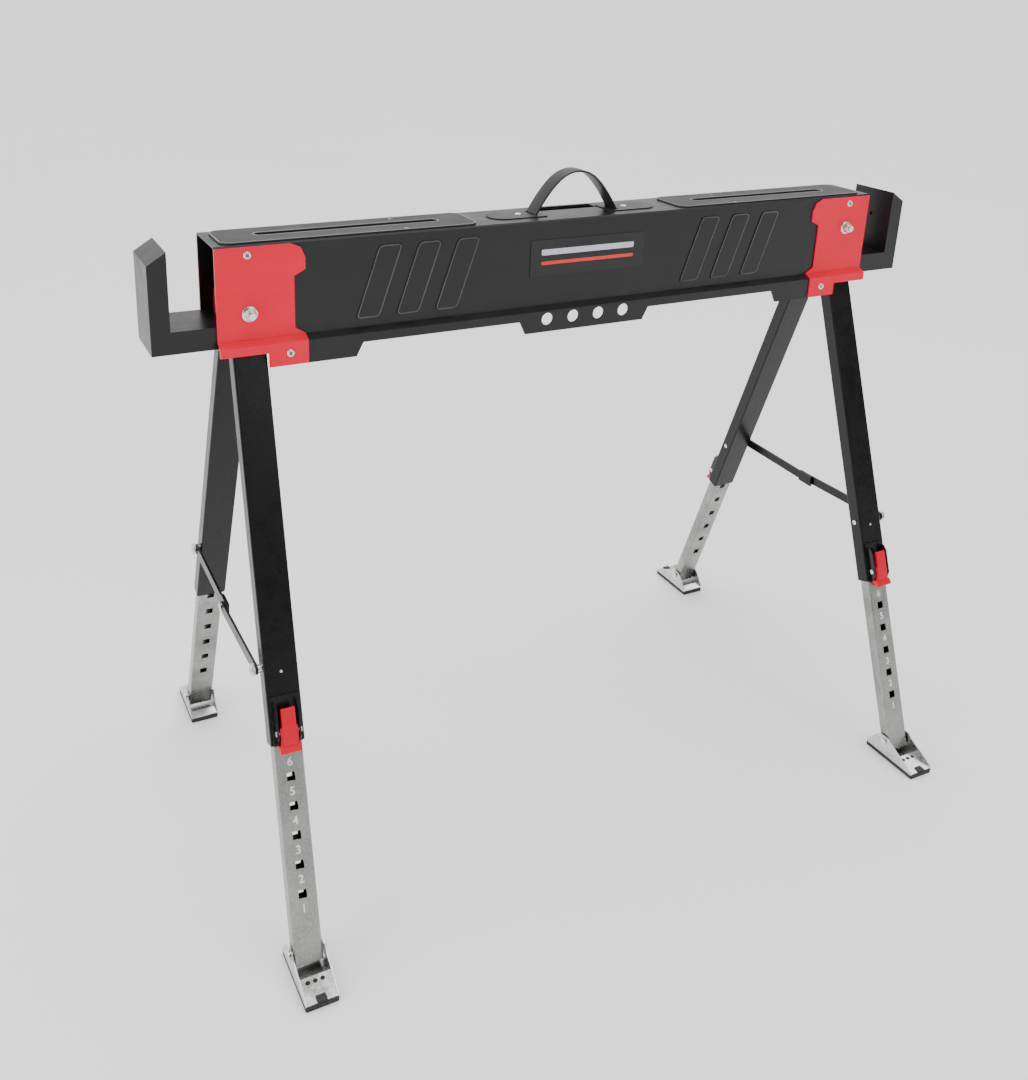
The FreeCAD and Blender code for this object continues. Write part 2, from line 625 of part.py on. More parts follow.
def inner_leg(name, end, place):
    outside, inside = tube(name, "inner_width", "inner_depth", "tube_wall",
                           down(end, "inner_end"), down(end, "inner_top"))
    holes = [box("%s_square_%d" % (name, i), "square", "40", "square", "-square / 2", "-20",
                 down(end, "first_hole") + " - %d * leg_pitch - square / 2" % i)
             for i in range(6)]
    holes.append(rod(name + "_foot_hole", "X", "foot_pin", "100", "0", "0",
                     down(end, "foot_station")))
    node(name, cut(name + "_tube", outside, [inside] + holes), place)


def foot(name, end, turn, way, leg):
    """A folded pan with a rubber sole, free to tip on its pin."""
    pin = leg.multVec(Vector(0, 0, size(end + "_pin_station") - size("foot_station")))
    place = Placement(pin, Rotation(Vector(0, 0, 1), turn + way))
    ground = "-%.6f" % pin.z
    floor = ground + " + sole_thick"
    block = box(name + "_sole_block", "foot_width", "foot_out + foot_in", "sole_thick",
                "-foot_width / 2", "-foot_out", ground)
    tab = box(name + "_sole_tab", "2 * notch_half - 0.2", "notch_length - 0.6", "4",
              "-notch_half + 0.1", "-foot_out + 0.5", floor)
    node(name + "_sole", fuse(name + "_rubber", [rounded(block, "2"), tab]), place)

    pan = [box(name + "_pan", "foot_width", "foot_out + foot_in - 2", "foot_sheet",
               "-foot_width / 2", "-foot_out + 1", floor)]
    outline = [("-foot_out + 1", floor), ("-foot_out + 2", floor + " + 4"),
               ("-foot_out + 20", floor + " + 13"), ("-14", "0.4 * flange_top"),
               ("-8", "flange_top"), ("8", "flange_top"), ("14", "0.4 * flange_top"),
               ("foot_in - 3", floor + " + 6"), ("foot_in - 1", floor)]
    for i, side in enumerate((-1, 1)):
        pan.append(prism("%s_flange_%d" % (name, i), "YZ", outline, "foot_sheet",
                         offset="%d * (foot_width / 2 - foot_sheet / 2)" % side))
    for i, (start, length, flip) in enumerate((("foot_out", "apron", mirrored),
                                               ("foot_in", "apron / 3", str))):
        ramp = [(start + " - 1", floor), (start + " - 1", floor + " + 2"),
                (start + " - " + length, floor + " + apron_rise"),
                (start + " - " + length, floor + " + apron_rise - foot_sheet"),
                (start + " - 4", floor)]
        pan.append(prism("%s_apron_%d" % (name, i), "YZ", [(flip(a), b) for a, b in ramp],
                         "foot_width - foot_sheet"))
    tilt = size("pair_tilt") * (-1 if way else 1)
    bore = group(name + "_bore", [rod(name + "_pin_hole", "X", "foot_pin + running_gap", "100",
                                      "0", "0", "0")])
    bore.Placement = Placement(Vector(), Rotation(Vector(0, 1, 0), tilt))
    tools = [bore, box(name + "_notch", "2 * notch_half", "notch_length + 1", "12",
                       "-notch_half", "-foot_out - 1", floor + " - 2")]
    for i in range(3):
        tools.append(rod("%s_apron_hole_%d" % (name, i), "Z", "2.3", "8", "%d * 9" % (i - 1),
                         "-foot_out + apron_hole", floor + " + apron_rise"))
    node(name, cut(name + "_pan_cut", fuse(name + "_pan_sheet", pan), tools), place)

    spot = ("0", down(end, "foot_station"))
    shank = rod(name + "_pin_shank", "X", "foot_pin", "foot_width + 1", "0", *spot)
    heads = [rod("%s_pin_head_%d" % (name, i), "X", "foot_pin + 2", "1.8",
                 "%d * (foot_width / 2 + 1.4)" % side, *spot) for i, side in enumerate((-1, 1))]
    node(name + "_pin", fuse(name + "_pin_solid", [shank] + heads), leg)


def brace_link(end, face, way, leg):
    """A flat link from a leg's stud to the joint in the middle of the brace."""
    name = "%s_%s_brace_link" % (end, face)
    sag = math.degrees(math.asin(size("brace_drop") / size("brace_length")))
    place = leg * Placement(Vector(0, 0, size(end + "_pin_station") - size("brace_station")),
                            Rotation(Vector(1, 0, 0), size("leg_angle") - sag))
    side = outboard(way)
    low_x = link_layer(face) if side > 0 else "-%s - brace_thick" % link_layer(face)
    bar = rounded(box(name + "_bar", "brace_thick", "brace_length + 2 * brace_eye + 0.1",
                      "brace_width", low_x, "-brace_eye - 0.05", "-brace_width / 2"),
                  "brace_eye", (9, 10, 11, 12))
    middle = "%d * (%s + brace_thick / 2)" % (side, link_layer(face))
    holes = [rod(name + "_eye", "X", "stud_radius + running_gap", "20", middle, "0", "0")]
    if face == "front":
        holes.append(rod(name + "_rivet_hole", "X", "stud_radius", "20", middle,
                         "brace_length", "0"))
        rivet = [rod(end + "_rivet_shank", "X", "stud_radius", "brace_thick + 0.15",
                     "%d * (front_link_out + brace_thick / 2 - 0.075)" % side, "brace_length", "0"),
                 rod(end + "_rivet_head", "X", "stud_radius + 2.5", "2",
                     "%d * (front_link_out + brace_thick + 1)" % side, "brace_length", "0")]
        node(end + "_brace_rivet", fuse(end + "_brace_rivet_solid", rivet), place)
        shape = bar
    else:
        clip_low = "rear_link_out - 1.4" if side > 0 else "-rear_link_out - brace_thick"
        clip = box(name + "_clip", "brace_thick + 1.4", "26", "brace_width + 4", clip_low,
                   "brace_length - 15", "-brace_width / 2 - 2")
        shape = fuse(name + "_bent", [bar, clip])
    node(name, cut(name + "_cut", shape, holes), place)


def leg_pair(end, turn):
    hinge_bracket(end, turn)
    for face in ("front", "rear"):
        way = 180 if (face == "front") == (turn == 180) else 0
        name = "%s_%s" % (end, face)
        place = leg_place(end, turn, way)
        outer_leg(name + "_outer_leg", end, way, place)
        latch(name + "_latch", end, place)
        leg_hardware(name + "_leg", end, face, way, place)
        inner_leg(name + "_inner_leg", end, place)
        foot(name + "_foot", end, turn, way, place)
        brace_link(end, face, way, place)


beam_shell()
top_pads()
pad_screws()
handle()
end_plates()
fold_bolts()
badge_plate()
lumber_supports()
leg_pair("left", 0)
leg_pair("right", 180)
doc.recompute()

# --------------------------------------------------------------------------
# Every object is checked before anything is written
# --------------------------------------------------------------------------
for thing in doc.Objects:
    if "Invalid" in thing.State or "Error" in thing.State:
        raise RuntimeError("%s could not be built" % thing.Name)
for name, thing in NODES.items():
    if thing.Shape.isNull() or not thing.Shape.isValid():
        raise RuntimeError("%s is not a sound shape" % name)

os.makedirs("parts", exist_ok=True)
for name, thing in NODES.items():
    thing.Shape.exportStep("parts/%s.step" % name)
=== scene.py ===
import json
import math

import bmesh
import bpy
from mathutils import Matrix, Vector


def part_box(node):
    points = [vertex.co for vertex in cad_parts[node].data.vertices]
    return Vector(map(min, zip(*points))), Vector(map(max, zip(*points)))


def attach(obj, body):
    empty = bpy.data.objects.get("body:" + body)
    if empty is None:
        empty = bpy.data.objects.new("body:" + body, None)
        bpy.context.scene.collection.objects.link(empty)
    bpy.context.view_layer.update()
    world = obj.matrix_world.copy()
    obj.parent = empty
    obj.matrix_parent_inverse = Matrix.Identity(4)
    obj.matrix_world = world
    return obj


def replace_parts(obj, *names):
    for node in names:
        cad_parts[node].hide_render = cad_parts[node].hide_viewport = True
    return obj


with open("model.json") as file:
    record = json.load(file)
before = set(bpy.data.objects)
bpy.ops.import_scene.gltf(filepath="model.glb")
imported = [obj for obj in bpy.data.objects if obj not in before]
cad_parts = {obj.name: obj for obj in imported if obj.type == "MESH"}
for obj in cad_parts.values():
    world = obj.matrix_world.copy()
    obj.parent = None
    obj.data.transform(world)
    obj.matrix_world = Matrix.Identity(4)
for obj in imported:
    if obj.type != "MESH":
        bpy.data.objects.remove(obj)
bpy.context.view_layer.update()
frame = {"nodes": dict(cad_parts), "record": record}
NODES = frame["nodes"]
JOINTS = {j["name"]: j for j in frame["record"]["behaviour"]["joints"]}
SIDES = [(end, face) for end in ("left", "right") for face in ("front", "rear")]


# ---------------------------------------------------------------- materials
class Shader:
    """A Principled material in the making, with object coordinates in metres."""

    def __init__(self, name, **sockets):
        self.material = bpy.data.materials.new(name)
        self.material.use_nodes = True
        self.tree = self.material.node_tree
        self.bsdf = self.tree.nodes["Principled BSDF"]
        self.coords = self.tree.nodes.new("ShaderNodeTexCoord").outputs["Object"]
        for socket, value in sockets.items():
            self.bsdf.inputs[socket.replace("_", " ")].default_value = value

    def node(self, kind, inputs=(), **props):
        made = self.tree.nodes.new("ShaderNode" + kind)
        for name, value in props.items():
            setattr(made, name, value)
        for socket, value in dict(inputs).items():
            if hasattr(value, "links"):
                self.tree.links.new(value, made.inputs[socket])
            else:
                made.inputs[socket].default_value = value
        return made

    def stretched(self, x, y, z):
        return self.node("Mapping", {"Vector": self.coords, "Scale": (x, y, z)}).outputs["Vector"]

    def noise(self, scale, detail=3.0, rough=0.5, vector=None):
        return self.node("TexNoise", {"Vector": vector or self.coords, "Scale": scale,
                                      "Detail": detail, "Roughness": rough}).outputs["Fac"]

    def ramp(self, fac, *stops):
        made = self.node("ValToRGB", {"Fac": fac})
        stops = [(at, c if isinstance(c, tuple) else (c, c, c)) for at, c in stops]
        made.color_ramp.elements[0].position, made.color_ramp.elements[1].position = stops[0][0], stops[-1][0]
        for element, (_, c) in zip((made.color_ramp.elements[0], made.color_ramp.elements[1]),
                                   (stops[0], stops[-1])):
            element.color = (*c, 1)
        for at, c in stops[1:-1]:
            made.color_ramp.elements.new(at).color = (*c, 1)
        return made.outputs["Color"]

    def to(self, socket, output):
        self.tree.links.new(output, self.bsdf.inputs[socket])

    def bump(self, height, strength, distance, under=None):
        inputs = {"Height": height, "Strength": strength, "Distance": distance}
        if under is not None:
            inputs["Normal"] = under
        made = self.node("Bump", inputs).outputs["Normal"]
        self.tree.links.new(made, self.bsdf.inputs["Normal"])
        return made


def powder_coat(name, dark, light, rough, grain=700.0, peel=0.10, gloss=0.5):
    """Sprayed and baked paint: orange peel, slight mottling and fine dust."""
    s = Shader(name, Specular_IOR_Level=gloss)
    mottle = s.noise(9.0, 4.0, 0.6)
    s.to("Base Color", s.ramp(mottle, (0.3, dark), (0.72, light)))
    s.to("Roughness", s.ramp(s.noise(40.0, 5.0, 0.7), (0.3, rough - 0.05), (0.75, rough + 0.07)))
    fine = s.bump(s.noise(grain, 2.0), peel, 0.0006)
    s.bump(s.noise(70.0, 2.0), 0.05, 0.002, fine)
    return s.material


def zinc(name, light=(0.43, 0.435, 0.42), dark=(0.17, 0.172, 0.166), rough=0.27, along=(60.0, 60.0, 4.0)):
    """Bright zinc plate on drawn tube: lengthwise draw lines, cloudy patches, small stains."""
    s = Shader(name, Metallic=1.0)
    lines = s.noise(14.0, 6.0, 0.65, s.stretched(*along))
    cloud = s.noise(26.0, 4.0, 0.6)
    mixed = s.node("Math", {0: lines, 1: cloud}, operation="ADD").outputs[0]
    half = s.node("Math", {0: mixed, 1: 0.5}, operation="MULTIPLY").outputs[0]
    s.to("Base Color", s.ramp(half, (0.33, dark), (0.5, tuple(0.5 * (a + b) for a, b in zip(light, dark))),
                              (0.66, light)))
    s.to("Roughness", s.ramp(cloud, (0.3, rough - 0.08), (0.7, rough + 0.12)))
    s.bump(lines, 0.10, 0.0004)
    return s.material


def rubber(name, dark, light, rough, grain, depth=0.35):
    s = Shader(name, Specular_IOR_Level=0.35)
    speck = s.noise(grain, 3.0, 0.7)
    s.to("Base Color", s.ramp(speck, (0.35, dark), (0.68, light)))
    s.to("Roughness", s.ramp(s.noise(35.0, 3.0), (0.3, rough - 0.06), (0.7, rough + 0.06)))
    s.bump(speck, depth, 0.0008)
    return s.material


M = {
    "black": powder_coat("black_powder_coat", (0.0042, 0.0042, 0.0050), (0.0068, 0.0068, 0.0078), 0.33,
                         gloss=0.34),
    "black_leg": powder_coat("black_leg_coat", (0.0022, 0.0022, 0.0028), (0.0040, 0.0040, 0.0047), 0.28,
                             gloss=0.30),
    "red": powder_coat("red_powder_coat", (0.82, 0.002, 0.034), (0.92, 0.004, 0.046), 0.34, gloss=0.16),
    "lever": powder_coat("red_lever_plastic", (0.66, 0.001, 0.022), (0.76, 0.002, 0.030), 0.36, 1500.0, 0.05,
                         gloss=0.2),
    "housing": powder_coat("black_housing", (0.005, 0.005, 0.006), (0.009, 0.009, 0.010), 0.20, gloss=0.45),
    "zinc": zinc("zinc_tube"),
    "zinc_foot": zinc("zinc_pressing", (0.80, 0.81, 0.79), (0.44, 0.45, 0.44), 0.26, (18.0, 18.0, 18.0)),
    "steel": zinc("bright_fastener", (0.80, 0.80, 0.79), (0.60, 0.60, 0.59), 0.22, (30.0, 30.0, 30.0)),
    "pad": rubber("pad_rubber", (0.022, 0.022, 0.024), (0.055, 0.055, 0.058), 0.62, 520.0, 0.5),
    "sole": rubber("sole_rubber", (0.020, 0.020, 0.020), (0.050, 0.050, 0.050), 0.72, 700.0),
    "strap": rubber("strap_rubber", (0.012, 0.012, 0.014), (0.024, 0.024, 0.026), 0.42, 900.0, 0.15),
    "plastic": rubber("moulded_plastic", (0.014, 0.014, 0.016), (0.028, 0.028, 0.030), 0.40, 1100.0, 0.2),
    # Also used as painted shade for the foot's deck holes.
    "badge": rubber("badge_foil_and_hole_shade", (0.010, 0.010, 0.010), (0.018, 0.018, 0.018), 0.45, 400.0, 0.05),
    "badge_red": rubber("badge_red", (0.74, 0.030, 0.025), (0.84, 0.050, 0.040), 0.42, 400.0, 0.05),
    "badge_grey": rubber("badge_grey", (0.52, 0.54, 0.60), (0.66, 0.68, 0.74), 0.42, 400.0, 0.05),
    "white": rubber("white_ink", (0.80, 0.80, 0.78), (0.92, 0.92, 0.90), 0.55, 900.0, 0.05),
    # Rib edge beads: painted highlight, far lighter than the black shell.
    "rib": powder_coat("rib_edge_painted_highlight", (0.035, 0.035, 0.036), (0.075, 0.075, 0.077), 0.28),
    # Grey for the pad and slot rim beads (painted highlight) and the rivet hollows (painted shade).
    "grey_highlight_and_shade": powder_coat("grey_painted_highlight_and_shade", (0.12, 0.12, 0.122), (0.19, 0.19, 0.192), 0.36),
}


def paint(obj, key):
    obj.data.materials.clear()
    obj.data.materials.append(M[key])


def cad_material(name):
    if name.endswith("end_plate") or name.endswith("hinge_bracket"):
        return "red"
    if name.endswith("latch_lever"):
        return "lever"
    if name.endswith("latch_housing"):
        return "housing"
    if name.endswith("top_pad"):
        return "pad"
    if name.endswith("foot_sole"):
        return "sole"
    if name.endswith("inner_leg"):
        return "zinc"
    if name.endswith("_foot"):
        return "zinc_foot"
    if name.endswith("outer_leg") or name.endswith("brace_link"):
        return "black_leg"
    if name in ("beam_shell", "left_lumber_support", "right_lumber_support"):
        return "black"
    return {"handle_strap": "strap", "handle_plates": "plastic", "badge_plate": "badge"}.get(name, "steel")


SOFTENED = {"beam_shell": 0.0008, "left_lumber_support": 0.0016, "right_lumber_support": 0.0016,
            "handle_strap": 0.0009, "handle_plates": 0.0005, "left_top_pad": 0.0006,
            "right_top_pad": 0.0006}
for name, obj in NODES.items():
    paint(obj, cad_material(name))
    width = SOFTENED.get(name)
    if name.endswith("end_plate"):
        width = 0.0006
    elif name.endswith("latch_lever"):
        width = 0.0009
    elif name.endswith("foot_sole") or name.endswith("hinge_bracket"):
        width = 0.0007
    if width:
        bevel = obj.modifiers.new("softened", "BEVEL")
        bevel.width, bevel.segments, bevel.limit_method = width, 3, "ANGLE"
        bevel.angle_limit = math.radians(35)
        bevel.harden_normals = False


# ---------------------------------------------------------------- mesh helpers
def mesh_object(name, bm, key, body, matrix=None, smooth=True):
    data = bpy.data.meshes.new(name)
    bm.to_mesh(data)
    bm.free()
    for polygon in data.polygons:
        polygon.use_smooth = smooth
    obj = bpy.data.objects.new(name, data)
    bpy.context.scene.collection.objects.link(obj)
    if matrix is not None:
        obj.matrix_world = matrix
    paint(obj, key)
    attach(obj, body)
    return obj


def turned(name, profile, key, body, matrices, segments=36, sides=None):
    """Lathe pieces about their own Z from (radius, height) points, one at each matrix.

    With sides=6 the rings are hexagons, as on a nut.
    """
    bm = bmesh.new()
    count = sides or segments
    for matrix in matrices:
        rings = []
        for r, z in profile:
            ring = [(0, 0, z)] if r < 1e-6 else [
                (r * math.cos(2 * math.pi * i / count), r * math.sin(2 * math.pi * i / count), z)
                for i in range(count)]
            rings.append([bm.verts.new(matrix @ Vector(p)) for p in ring])
        for a, b in zip(rings, rings[1:]):
            for i in range(count):
                j = (i + 1) % count
                corners = [a[i % len(a)], a[j % len(a)], b[j % len(b)], b[i % len(b)]]
                unique = [v for n, v in enumerate(corners) if v not in corners[:n]]
                if len(unique) > 2:
                    bm.faces.new(unique)
    bmesh.ops.recalc_face_normals(bm, faces=bm.faces)
    obj = mesh_object(name, bm, key, body, smooth=sides is None)
    if sides:
        edge = obj.modifiers.new("edge", "BEVEL")
        edge.width, edge.segments, edge.limit_method = 0.0004, 2, "ANGLE"
    return obj


def facing(spot, direction):
    """A matrix at spot whose Z points along direction."""
    z = Vector(direction).normalized()
    x = Vector((0, 0, 1)).cross(z)
    x = x.normalized() if x.length > 1e-6 else Vector((1, 0, 0))
    y = z.cross(x)
    return Matrix.Translation(spot) @ Matrix((x, y, z)).transposed().to_4x4()


def slab(name, outline, thick, key, body, matrix):
    """A flat plate from an outline in its own XY, thick along Z."""
    bm = bmesh.new()
    low = [bm.verts.new((x, y, 0)) for x, y in outline]
    face = bm.faces.new(low)
    out = bmesh.ops.extrude_face_region(bm, geom=[face])
    for v in out["geom"]:
        if isinstance(v, bmesh.types.BMVert):
            v.co.z = thick
    bmesh.ops.recalc_face_normals(bm, faces=bm.faces)
    return mesh_object(name, bm, key, body, matrix, smooth=False)


def leg_frame(end, face):
    """Matrix of a leg: Z up the leg, -Y outwards, origin where its foot pin crosses."""
    axis = Vector(JOINTS["%s_%s_height" % (end, face)]["axis"]).normalized()
    up = axis if axis.z > 0 else -axis
    across = Vector(JOINTS["%s_%s_swing" % (end, face)]["axis"]).normalized()
    x = across if face == "front" else -across
    y = up.cross(x)
    origin = Vector(JOINTS["%s_%s_foot_tip" % (end, face)]["pos_m"])
    return Matrix.Translation(origin) @ Matrix((x, y, up)).transposed().to_4x4()


# ---------------------------------------------------------------- camera, floor, light
def camera():
    yaw, pitch, roll = -0.4596, -0.3287, -0.0287
    data = bpy.data.cameras.new("view")
    data.sensor_fit = "VERTICAL"
    data.sensor_height = 24.0
    data.lens = 24.732222
    data.shift_x = 0.0513889
    data.shift_y = -0.1824074
    data.clip_end = 200.0
    obj = bpy.data.objects.new("view", data)
    bpy.context.scene.collection.objects.link(obj)
    turn = (Matrix.Rotation(yaw, 4, "Z") @ Matrix.Rotation(pitch, 4, "X")
            @ Matrix.Rotation(roll, 4, "Y") @ Matrix.Rotation(math.pi / 2, 4, "X"))
    obj.matrix_world = Matrix.Translation((-0.7640, -1.2211, 1.1150)) @ turn
    bpy.context.scene.camera = obj


def floor_and_light():
    bm = bmesh.new()
    bmesh.ops.create_grid(bm, x_segments=4, y_segments=4, size=90)
    data = bpy.data.meshes.new("floor")
    bm.to_mesh(data)
    bm.free()
    floor = bpy.data.objects.new("floor", data)
    bpy.context.scene.collection.objects.link(floor)
    s = Shader("pale_floor", Roughness=0.9, Specular_IOR_Level=0.1)
    s.to("Base Color", s.ramp(s.noise(0.6), (0.3, (0.90, 0.90, 0.90)), (0.7, (0.92, 0.92, 0.92))))
    floor.data.materials.append(s.material)

    world = bpy.data.worlds.new("studio")
    bpy.context.scene.world = world
    world.use_nodes = True
    tree = world.node_tree
    back = tree.nodes["Background"]
    coords = tree.nodes.new("ShaderNodeTexCoord")
    split = tree.nodes.new("ShaderNodeSeparateXYZ")
    tree.links.new(coords.outputs["Generated"], split.inputs[0])
    ramp = tree.nodes.new("ShaderNodeMapRange")
    for socket, value in (("From Min", -0.7), ("From Max", 0.5), ("To Min", 0.14), ("To Max", 1.35)):
        ramp.inputs[socket].default_value = value
    tree.links.new(split.outputs["Y"], ramp.inputs["Value"])
    tree.links.new(ramp.outputs[0], back.inputs["Strength"])
    back.inputs["Color"].default_value = (1, 1, 1, 1)

    def lamp(name, kind, energy, place, aim, **props):
        light = bpy.data.lights.new(name, kind)
        light.energy = energy
        for prop, value in props.items():
            setattr(light, prop, value)
        obj = bpy.data.objects.new(name, light)
        bpy.context.scene.collection.objects.link(obj)
        obj.matrix_world = facing(Vector(place), Vector(place) - Vector(aim))

    lamp("overhead", "SUN", 2.7, (0.6, 0.8, 4), (0, 0, 0), angle=math.radians(70))
    lamp("side_fill", "AREA", 60, (-3.2, -0.4, 1.6), (0, 0, 0.5), size=2.2)
    lamp("front_fill", "AREA", 40, (1.6, -3.4, 2.6), (0, 0, 0.4), size=2.5)


# ---------------------------------------------------------------- beam details
def beam_rivets():
    """Hollow pop rivets on the end plates and the strap plates."""
    ring = [(0.0019, 0.0003), (0.0021, 0.0012), (0.0030, 0.0017), (0.0040, 0.0014), (0.0046, 0.0006),
            (0.0047, 0.0)]
    head, step_in = 0.0042, 0.0445
    plate_face, skirt_face = 0.0410, 0.0515
    spots = []
    low, high = (Vector(c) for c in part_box("end_plate_rivets"))
    top_x, low_x = high.x - head, high.x - head - step_in
    top_z, low_z = high.z - head, low.z + head
    for side in (-1, 1):
        for way in (-1, 1):
            spots.append(((side * top_x, way * plate_face, top_z), (0, way, 0)))
            spots.append(((side * low_x, way * skirt_face, low_z), (0, way, 0)))
    places = [facing(Vector(p), Vector(d)) for p, d in spots]
    rivets = turned("plate_rivet_rings", ring, "steel", "beam", places)
    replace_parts(rivets, "end_plate_rivets")
    # Grey disc in each rivet's hollow: painted shade of the hole.
    core = [(0, 0.0004), (0.0012, 0.0004), (0.0020, 0.0002)]
    turned("plate_rivet_cores", core, "grey_highlight_and_shade", "beam", places)
    low, high = (Vector(c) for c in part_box("handle_rivets"))
    tops = [Matrix.Translation((side * (high.x - head), 0, low.z)) for side in (-1, 1)]
    dome = [(0.0044, 0.0), (0.0042, 0.0008), (0.0030, 0.0014), (0.0014, 0.0016), (0, 0.0016)]
    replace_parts(turned("strap_rivet_domes", dome, "steel", "beam", tops), "handle_rivets")


def fold_fasteners():
    """Washer, hexagon and locking collar of each fold nut."""
    seat_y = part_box("fold_nuts")[1][1]
    places = []
    for joint in ("left_fold", "right_fold"):
        x, _, z = JOINTS[joint]["pos_m"]
        places.append(facing(Vector((x, seat_y, z)), Vector((0, -1, 0))))
    hexagon = [(0.0040, 0.0012), (0.0068, 0.0012), (0.0075, 0.0018), (0.0075, 0.0056), (0.0067, 0.0065),
               (0.0040, 0.0065)]
    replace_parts(turned("fold_nut_bodies", hexagon, "steel", "beam", places, sides=6), "fold_nuts")
    washer = [(0.0042, 0.0), (0.0092, 0.0), (0.0094, 0.0006), (0.0090, 0.0012), (0.0042, 0.0012)]
    turned("fold_washers", washer, "steel", "beam", places)
    collar = [(0.0060, 0.0062), (0.0060, 0.0078), (0.0054, 0.0090), (0.0042, 0.0095), (0.0041, 0.0088)]
    turned("fold_nut_collars", collar, "steel", "beam", places)


def rounded_loop(low, high, radius, steps=10):
    """Points round a rectangle with rounded corners."""
    points = []
    for cx, cy, start in ((high[0] - radius, high[1] - radius, 0), (low[0] + radius, high[1] - radius, 90),
                          (low[0] + radius, low[1] + radius, 180), (high[0] - radius, low[1] + radius, 270)):
        for i in range(steps + 1):
            a = math.radians(start + 90 * i / steps)
            points.append((cx + radius * math.cos(a), cy + radius * math.sin(a)))
    return points


def soft_corners(points, radius, steps=5):
    """A polygon's points with each corner eased over the given distance."""
    eased = []
    for i, p in enumerate(points):
        p, before, after = Vector(p), Vector(points[i - 1]), Vector(points[(i + 1) % len(points)])
        a = p + (before - p).normalized() * radius
        b = p + (after - p).normalized() * radius
        for k in range(steps + 1):
            t = k / steps
            q = a * (1 - t) ** 2 + p * 2 * t * (1 - t) + b * t ** 2
            eased.append((q.x, q.y))
    return eased


def bead(name, points, z, radius, key, body, flat=0.6, matrix=None):
    """A low bead along a closed loop at height z."""
    bm = bmesh.new()
    count, around = len(points), 8
    rings = []
    for i, (x, y) in enumerate(points):
        px, py = points[i - 1]
        nx, ny = points[(i + 1) % count]
        dx, dy = nx - px, ny - py
        length = math.hypot(dx, dy) or 1.0
        ox, oy = dy / length, -dx / length
        rings.append([bm.verts.new((x + ox * radius * math.cos(a), y + oy * radius * math.cos(a),
                                    z + flat * radius * math.sin(a)))
                      for a in (2 * math.pi * k / around for k in range(around))])
    for i in range(count):
        a, b = rings[i], rings[(i + 1) % count]
        for k in range(around):
            m = (k + 1) % around
            bm.faces.new((a[k], a[m], b[m], b[k]))
    bmesh.ops.recalc_face_normals(bm, faces=bm.faces)
    return mesh_object(name, bm, key, body, matrix)


def pad_rim_highlights():
    """The rim of each top pad and of its slot, as a grey bead: a painted highlight on the dark rubber."""
    margin, to_handle, to_end, half_slot = 0.0009, 0.041, 0.046, 0.0078
    for side in ("left", "right"):
        low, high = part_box(side + "_top_pad")
        top = high[2]
        loop = rounded_loop((low[0] + margin, low[1] + margin), (high[0] - margin, high[1] - margin), 0.0115)
        bead(side + "_pad_rim", loop, top - 0.0003, 0.0011, "grey_highlight_and_shade", "beam")
        before, after = (to_handle, to_end) if side == "right" else (to_end, to_handle)
        slot = rounded_loop((low[0] + before, -half_slot), (high[0] - after, half_slot), 0.0077)
        bead(side + "_slot_rim", slot, top - 0.0002, 0.0014, "grey_highlight_and_shade", "beam")


def rib_edges():
    """The eased edge round each stamped rib of the beam's two long faces, as a bead painted lighter than the
    shell: a painted highlight along each edge.
    """
    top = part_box("left_top_pad")[0][2]
    face = abs(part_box("badge_plate")[1][1]) + 0.0011
    pitch, width, lean = 0.0515, 0.028, 0.029
    foot, head = top - 0.100, top - 0.014
    for way, side in ((-1, "front"), (1, "rear")):
        turn = Matrix.Translation((0, way * face, 0)) @ Matrix.Rotation(-way * math.pi / 2, 4, "X")
        for n, start in enumerate((-0.3145, 0.1545)):
            for i in range(3):
                low = start + pitch * i
                outline = [(low, foot), (low + width, foot), (low + width + lean, head), (low + lean, head)]
                loop = soft_corners([(x, -way * z) for x, z in outline], 0.006)
                # The bead's light colour is the painted highlight of the rib's edge.
                bead("%s_rib_edge_%d_%d" % (side, n, i), loop, 0.0, 0.0009, "rib", "beam", 0.45, turn)


def strap():
    """The carrying strap: a soft ribbon that leaves its slots and stands up in an arch."""
    low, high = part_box("handle_strap")
    reach, base, rise = high[0] - 0.0022, low[2], high[2] - low[2] - 0.0014
    half = [(-1.0, 0.0), (-0.935, 0.13), (-0.80, 0.36), (-0.62, 0.62), (-0.40, 0.86), (-0.20, 0.965),
            (0.0, 1.0)]
    knots = half + [(-x, z) for x, z in reversed(half[:-1])]
    curve = bpy.data.curves.new("strap_path", "CURVE")
    curve.dimensions = "3D"
    line = curve.splines.new("NURBS")
    line.points.add(len(knots) - 1)
    for point, (x, z) in zip(line.points, knots):
        point.co = (x * reach, 0, base + z * rise, 1)
    line.order_u = 4
    line.use_endpoint_u = True
    line.resolution_u = 10
    path_obj = bpy.data.objects.new("strap_path", curve)
    path = [v.co.copy() for v in bpy.data.meshes.new_from_object(path_obj).vertices]
    bpy.data.objects.remove(path_obj)
    width, thick, corner = 0.0128, 0.0013, 0.0011
    section = []
    for cx, cz, start in ((width - corner, thick - corner, 0), (-width + corner, thick - corner, 90),
                          (-width + corner, -thick + corner, 180), (width - corner, -thick + corner, 270)):
        for i in range(5):
            a = math.radians(start + 22.5 * i)
            section.append((cx + corner * math.cos(a), cz + corner * math.sin(a)))
    bm = bmesh.new()
    rings = []
    for i, p in enumerate(path):
        ahead = (path[min(i + 1, len(path) - 1)] - path[max(i - 1, 0)]).normalized()
        out = Vector((-ahead.z, 0, ahead.x))
        rings.append([bm.verts.new(p + Vector((0, y, 0)) + out * z) for y, z in section])
    for a, b in zip(rings, rings[1:]):
        for k in range(len(section)):
            m = (k + 1) % len(section)
            bm.faces.new((a[k], a[m], b[m], b[k]))
    for ring in (rings[0], rings[-1]):
        bm.faces.new(ring)
    bmesh.ops.recalc_face_normals(bm, faces=bm.faces)
    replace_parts(mesh_object("carrying_strap", bm, "strap", "beam"), "handle_strap")


